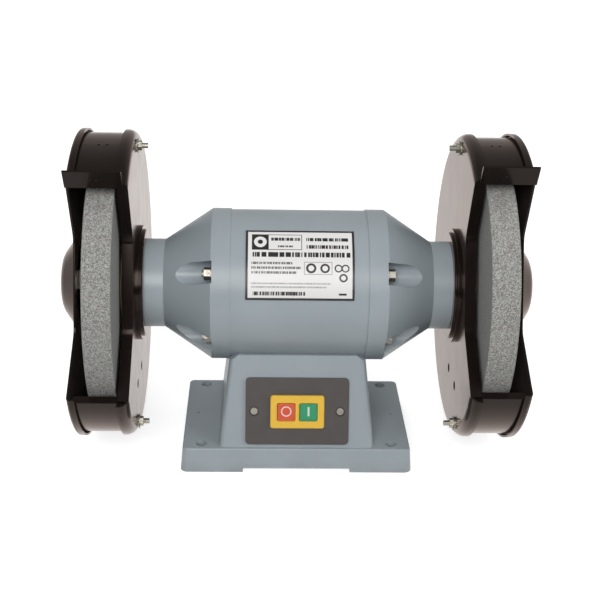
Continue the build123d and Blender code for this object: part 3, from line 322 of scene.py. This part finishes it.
def fibre(name, colour, shade, size, roughness=0.95, depth=0.0004):
    # pressed fibre: felt seals and card washers
    recipe = Recipe(name)
    hairs = recipe.noise(size, where=recipe.place(stretch=(1, 0.3, 1)), detail=5.0, roughness=0.75)
    blots = recipe.noise(0.01, detail=3.0)
    return recipe.finish(
        Base_Color=recipe.mix(recipe.between(hairs, 0.3, 0.7) * 0.6 + blots * 0.3, colour, shade),
        Roughness=roughness,
        Normal=recipe.bump(hairs, 0.6, depth),
        Specular_IOR_Level=0.2,
    )


buttonMark = dict(
    ring=0.0043,
    line=0.00045,
    barHalf=0.0042,
    barLine=0.00075,
    # where the painted shade towards the rim starts and ends
    paintedShadeStart=0.0062,
    paintedShadeEnd=0.0082,
    white=(0.86, 0.84, 0.80, 1),
)


def faceTurn():
    # turns X along the face, Y up it and Z out of it
    out = -faceIn
    along = Vector((1, 0, 0))
    up = out.cross(along)
    return Matrix((along, up, out)).transposed().to_euler()


def middleOf(node):
    low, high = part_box(node)
    return (low + high) / 2


def buttonCap(name, node, colour, shade, mark):
    # glossy moulded cap, its mark printed on the face only, its colour darkened towards the rim as painted shade
    recipe = Recipe(name)
    x, y, z = recipe.split(recipe.place(centre=middleOf(node), turn=faceTurn()))
    if mark == "ring":
        away = (x * x + y * y).maths("SQRT") - buttonMark["ring"]
        inked = recipe.between(abs(away), buttonMark["line"] * 1.4, buttonMark["line"])
    else:
        inked = recipe.between(abs(x), buttonMark["barLine"] * 1.3, buttonMark["barLine"])
        inked = inked * recipe.between(abs(y), buttonMark["barHalf"] * 1.05, buttonMark["barHalf"])
    texture = recipe.noise(0.0009, detail=2.0)
    patches = recipe.noise(0.009, detail=3.0)
    reach = abs(x).maths("MAXIMUM", abs(y))
    # painted shade: the cap colour darkens towards its edges
    edge = recipe.between(reach, buttonMark["paintedShadeStart"], buttonMark["paintedShadeEnd"])
    inked = inked * (1 - recipe.between(patches, 0.62, 0.75) * 0.5)
    body = recipe.mix(edge * 0.55 + patches * 0.2, colour, shade)
    return recipe.finish(
        Base_Color=recipe.mix(inked * 0.9, body, buttonMark["white"]),
        Roughness=0.28 + texture * 0.12,
        Normal=recipe.bump(texture + inked * 0.5, 0.2, 0.00008),
    )


plateArt = dict(
    foil=(0.88, 0.865, 0.85, 1),
    shade=(0.74, 0.73, 0.71, 1),
    ink=(0.012, 0.011, 0.011, 1),
    border=0.0020,
    radius=0.0708,
    soft=0.00012,
    # left, right, bottom, top, line, share of ink
    outlines=(
        (-0.0432, 0.0017, 0.0124, 0.0288, 0.0006, 1.0),
        (0.0034, 0.0286, -0.0106, 0.0010, 0.0005, 0.7),
    ),
    # left, right, middle, height, word length, share of ink
    bars=(
        (-0.0265, 0.0000, 0.0236, 0.0034, 0.0014, 1.0),
        (-0.0200, -0.0065, 0.0160, 0.0018, 0.0009, 1.0),
        (0.0056, 0.0432, 0.0235, 0.0036, 0.0014, 1.0),
        (0.0056, 0.0432, 0.0157, 0.0036, 0.0014, 1.0),
        (-0.0436, 0.0449, 0.0078, 0.0046, 0.0020, 1.0),
        (-0.0436, -0.0070, -0.0003, 0.0022, 0.0010, 0.85),
        (-0.0436, 0.0004, -0.0046, 0.0022, 0.0010, 0.85),
        (-0.0436, -0.0030, -0.0089, 0.0022, 0.0010, 0.85),
        (-0.0440, 0.0270, -0.0187, 0.0014, 0.0006, 0.6),
        (-0.0440, 0.0235, -0.0219, 0.0014, 0.0006, 0.6),
        (-0.0423, 0.0047, -0.0277, 0.0034, 0.0013, 1.0),
    ),
    # across, up, radius, line
    discs=(
        (0.0098, -0.0048, 0.0036, 0.0020),
        (0.0222, -0.0048, 0.0034, 0.0018),
        (0.0342, -0.0048, 0.0030, 0.0012),
        (0.0404, -0.0048, 0.0030, 0.0012),
        (0.0386, -0.0134, 0.0030, 0.0016),
    ),
    wheelBox=(-0.0432, -0.0282, 0.0124, 0.0288),
    wheelDisc=(-0.0357, 0.0206, 0.0040, 0.0034),
    cornerBox=(0.0346, 0.0415, -0.0290, -0.0272),
)


def plateFoil():
    # white foil with a black border, a boxed wheel pictogram and plain bars where a maker would print
    recipe = Recipe("labelFoil")
    low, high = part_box("nameplate")
    half = (high.x - low.x) / 2
    centre = Vector(((low.x + high.x) / 2, shaftLine.y, shaftLine.z))
    x, y, z = recipe.split(recipe.place(centre=centre))
    points = [vert.co for vert in nodes["nameplate"].data.vertices]
    angles = [math.atan2(point.z - centre.z, centre.y - point.y) for point in points]
    middle = (min(angles) + max(angles)) / 2
    halfHeight = (max(angles) - min(angles)) / 2 * plateArt["radius"]
    up = (z.maths("ARCTAN2", y * -1) - middle) * plateArt["radius"]

    soft = plateArt["soft"]

    def box(left, right, bottom, top):
        # 1 inside the box, measured in metres from the plate's middle
        across = abs(x - (left + right) / 2)
        along = abs(up - (bottom + top) / 2)
        inside = recipe.between(across, (right - left) / 2 + soft, (right - left) / 2 - soft)
        return inside * recipe.between(along, (top - bottom) / 2 + soft, (top - bottom) / 2 - soft)

    def bar(left, right, middleUp, height, word):
        # a line of print stood for by blocks of uneven length
        speckle = recipe.node(
            "TexNoise",
            dict(noise_dimensions="1D"),
            dict(W=x / word + middleUp * 9000, Scale=1.0, Detail=1.0),
        )
        line = box(left, right, middleUp - height / 2, middleUp + height / 2)
        return line * recipe.between(speckle, 0.40, 0.46)

    def outline(left, right, bottom, top, line):
        return box(left, right, bottom, top) - box(left + line, right - line, bottom + line, top - line)

    def disc(acrossAt, upAt, radius, line):
        away = ((x - acrossAt).maths("POWER", 2) + (up - upAt).maths("POWER", 2)).maths("SQRT")
        return recipe.between(abs(away - radius), line / 2 + soft, line / 2 - soft)

    edge = plateArt["border"]
    border = 1 - box(-half + edge, half - edge, -halfHeight + edge, halfHeight - edge)
    wheelMark = box(*plateArt["wheelBox"]) * (1 - disc(*plateArt["wheelDisc"]))
    ink = border + wheelMark + box(*plateArt["cornerBox"])
    for *place, share in plateArt["outlines"]:
        ink = ink + outline(*place) * share
    for *place, share in plateArt["bars"]:
        ink = ink + bar(*place) * share
    for place in plateArt["discs"]:
        ink = ink + disc(*place)
    worn = recipe.between(recipe.noise(0.0016, detail=4.0, roughness=0.7), 0.64, 0.72)
    film = recipe.noise(0.02, detail=3.0)
    foil = recipe.mix(film * 0.25, plateArt["foil"], plateArt["shade"])
    ink = recipe.between(ink, 0.0, 1.0) * (1 - worn * 0.35)
    return recipe.finish(
        Base_Color=recipe.mix(ink, foil, plateArt["ink"]),
        Roughness=0.30 + film * 0.1 + worn * 0.1,
        Normal=recipe.bump(film, 0.1, 0.0002),
    )


# each cap: its own colour, then a darker copy for the painted shade at the rim and faint random patches
redCap = (0.74, 0.085, 0.035, 1), (0.60, 0.16, 0.03, 1)
greenCap = (0.03, 0.33, 0.15, 1), (0.02, 0.22, 0.09, 1)
finishes = {
    "grey_paint": castPaint(),
    "black_paint": guardEnamel(),
    "dark_fastener": metal("darkFastener", (0.06, 0.055, 0.05, 1), (0.02, 0.018, 0.016, 1), 0.5),
    "zinc": metal("zinc", (0.40, 0.38, 0.33, 1), (0.17, 0.155, 0.13, 1), 0.40, patch=0.003),
    "plate_steel": metal("plateSteel", (0.36, 0.36, 0.37, 1), (0.2, 0.19, 0.18, 1), 0.45, (8, 1, 1)),
    "bearing_steel": metal("bearingSteel", (0.62, 0.62, 0.63, 1), (0.45, 0.45, 0.45, 1), 0.16, depth=0.00001),
    "cage_brass": metal("cageBrass", (0.62, 0.42, 0.16, 1), (0.4, 0.25, 0.1, 1), 0.32),
    "shaft_steel": metal("shaftSteel", (0.50, 0.50, 0.50, 1), (0.34, 0.33, 0.32, 1), 0.28, (1, 9, 9)),
    "lamination": lamination(),
    "copper": copperWire(),
    "cast_aluminium": metal("castAluminium", (0.62, 0.63, 0.64, 1), (0.4, 0.4, 0.41, 1), 0.48, grain=0.0013),
    "felt": fibre("felt", (0.30, 0.27, 0.22, 1), (0.14, 0.12, 0.10, 1), 0.0009),
    "abrasive": abrasive(),
    "blotter_card": fibre("blotterCard", (0.42, 0.30, 0.18, 1), (0.25, 0.17, 0.10, 1), 0.0016, 0.85, 0.0001),
    "bush_plastic": plastic("bushPlastic", (0.62, 0.60, 0.55, 1), (0.45, 0.43, 0.39, 1), 0.5),
    "black_plastic": plastic("blackPlastic", (0.058, 0.050, 0.047, 1), (0.105, 0.098, 0.094, 1), 0.50),
    "yellow_plastic": plastic("yellowPlastic", (0.90, 0.56, 0.055, 1), (0.76, 0.42, 0.04, 1), 0.32, coat=0.2),
    "red_plastic": buttonCap("redButton", "stop_button", *redCap, "ring"),
    "green_plastic": buttonCap("greenButton", "start_button", *greenCap, "bar"),
    "label_foil": plateFoil(),
}
slotOf = {}
for material in frame["record"]["materials"]:
    for name in material.get("nodes", []):
        slotOf[name] = material["slot"]
for name, node in nodes.items():
    for index, old in enumerate(node.data.materials):
        slotName = slotOf.get(name) or old.name.split(".")[0]
        node.data.materials[index] = finishes[slotName]
print("finishes on", len(nodes), "nodes")


def addMesh(shape, name):
    mesh = bpy.data.meshes.new(name)
    shape.to_mesh(mesh)
    shape.free()
    piece = bpy.data.objects.new(name, mesh)
    bpy.context.scene.collection.objects.link(piece)
    return piece


lockWasher = dict(
    inner=0.0030,
    outer=0.0049,
    tooth=0.0070,
    thick=0.0005,
    teeth=8,
    gap=0.00002,
    twist=0.0004,
    flatWasher=0.0010,
    nutAcross=0.016,
    faceTolerance=0.0001,
)


def outermost(points, pick):
    return Vector([pick(point[i] for point in points) for i in range(3)])


def nutCentres(side, reach, points):
    # the middle of each nut on one side, from the points on its innermost face
    groups = []
    for point in points:
        if point.x * side <= reach - lockWasher["faceTolerance"]:
            continue
        near = [group for group in groups if (group[0] - point).length < lockWasher["nutAcross"]]
        if near:
            near[0].append(point)
        else:
            groups.append([point])
    return [sum((outermost(group, pick) for pick in (min, max)), Vector()) / 2 for group in groups]


def washerRings(shape, x, centre, side):
    inner, outer = [], []
    count = lockWasher["teeth"] * 4
    for step in range(count):
        angle = 2 * math.pi * step / count
        radius = lockWasher["tooth"] if step % 4 in (1, 2) else lockWasher["outer"]
        twist = lockWasher["twist"] * side if step % 4 == 2 else 0
        way = Vector((0, math.cos(angle), math.sin(angle)))
        middle = Vector((x, centre.y, centre.z))
        inner.append(shape.verts.new(middle + way * lockWasher["inner"]))
        outer.append(shape.verts.new(middle - Vector((twist, 0, 0)) + way * radius))
    return inner, outer


def lockWashers():
    # toothed washers between the guard nuts' flat washers and the inner plates
    shape = bmesh.new()
    nutPoints = [vert.co for vert in nodes["guard_screw_nuts"].data.vertices]
    for side in (-1, 1):
        reach = max(point.x * side for point in nutPoints)
        start = side * (reach - lockWasher["flatWasher"] - lockWasher["thick"])
        end = start + side * (lockWasher["thick"] - lockWasher["gap"])
        for centre in nutCentres(side, reach, nutPoints):
            innerA, outerA = washerRings(shape, start, centre, side)
            innerB, outerB = washerRings(shape, end, centre, side)
            for step in range(len(innerA)):
                after = (step + 1) % len(innerA)
                shape.faces.new((innerA[step], innerA[after], outerA[after], outerA[step]))
                shape.faces.new((innerB[step], outerB[step], outerB[after], innerB[after]))
                shape.faces.new((outerA[step], outerA[after], outerB[after], outerB[step]))
                shape.faces.new((innerA[step], innerB[step], innerB[after], innerA[after]))
    bmesh.ops.recalc_face_normals(shape, faces=shape.faces)
    washers = addMesh(shape, "guardLockWashers")
    washers.data.materials.append(finishes["zinc"])
    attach(washers, "frame")


lockWashers()
print("lock washers made")


studio = dict(
    floorSize=12.0,
    floor=(0.92, 0.92, 0.92, 1),
    floorShade=(0.84, 0.84, 0.84, 1),
    glow=0.72,
    sky=0.50,
    darkWall=0.10,
    key=dict(place=(-0.4, -2.3, 1.5), size=1.3, power=36),
    fill=dict(place=(1.7, -1.4, 0.9), size=1.0, power=11),
)


def makeSky():
    # an even white room that falls off to a dark wall in front of the bench
    recipe = Recipe("sky", bpy.data.worlds)
    x, y, z = recipe.split(recipe.node("TexCoord", output="Generated"))
    front = recipe.between(y, -0.15, -0.75) * recipe.between(z, 0.75, 0.15)
    glow = recipe.mix(front, (studio["sky"],) * 3 + (1,), (studio["darkWall"],) * 3 + (1,))
    light = recipe.node("Background", inputs=dict(Color=glow))
    recipe.node("OutputWorld", inputs=dict(Surface=light))
    bpy.context.scene.world = recipe.owner


def makeFloor():
    shape = bmesh.new()
    bmesh.ops.create_grid(shape, x_segments=1, y_segments=1, size=studio["floorSize"] / 2)
    floor = addMesh(shape, "floor")
    recipe = Recipe("floorPaper")
    paper = recipe.mix(recipe.noise(0.4) * 0.06, studio["floor"], studio["floorShade"])
    floor.data.materials.append(recipe.finish(
        Base_Color=paper,
        Roughness=0.9,
        Emission_Color=studio["floor"],
        Emission_Strength=studio["glow"],
    ))
    floor.visible_diffuse = False  # the paper shows and mirrors, and the undersides stay in shade


def makeLight(name, values, target):
    light = bpy.data.lights.new(name, "AREA")
    light.shape = "SQUARE"
    light.size = values["size"]
    light.energy = values["power"]
    lamp = bpy.data.objects.new(name, light)
    bpy.context.scene.collection.objects.link(lamp)
    lamp.location = values["place"]
    lamp.rotation_euler = (Vector(values["place"]) - target).to_track_quat("Z", "Y").to_euler()


view = dict(eye=(-0.0377, -1.0411, 0.6072), turn=2.20, down=23.90, roll=1.42, lens=72.45)


def makeCamera():
    camera = bpy.data.objects.new("camera", bpy.data.cameras.new("camera"))
    bpy.context.scene.collection.objects.link(camera)
    turn = Matrix.Rotation(-math.radians(view["turn"]), 4, "Z")
    tilt = Matrix.Rotation(math.radians(90 - view["down"]), 4, "X")
    roll = Matrix.Rotation(math.radians(view["roll"]), 4, "Z")
    camera.matrix_world = Matrix.Translation(view["eye"]) @ turn @ tilt @ roll
    camera.data.lens = view["lens"]
    camera.data.sensor_width = 36
    bpy.context.scene.camera = camera


makeFloor()
makeLight("keyLight", studio["key"], shaftLine)
makeLight("fillLight", studio["fill"], shaftLine)
makeSky()
bpy.context.scene.view_settings.view_transform = "Standard"
makeCamera()
print("studio ready")
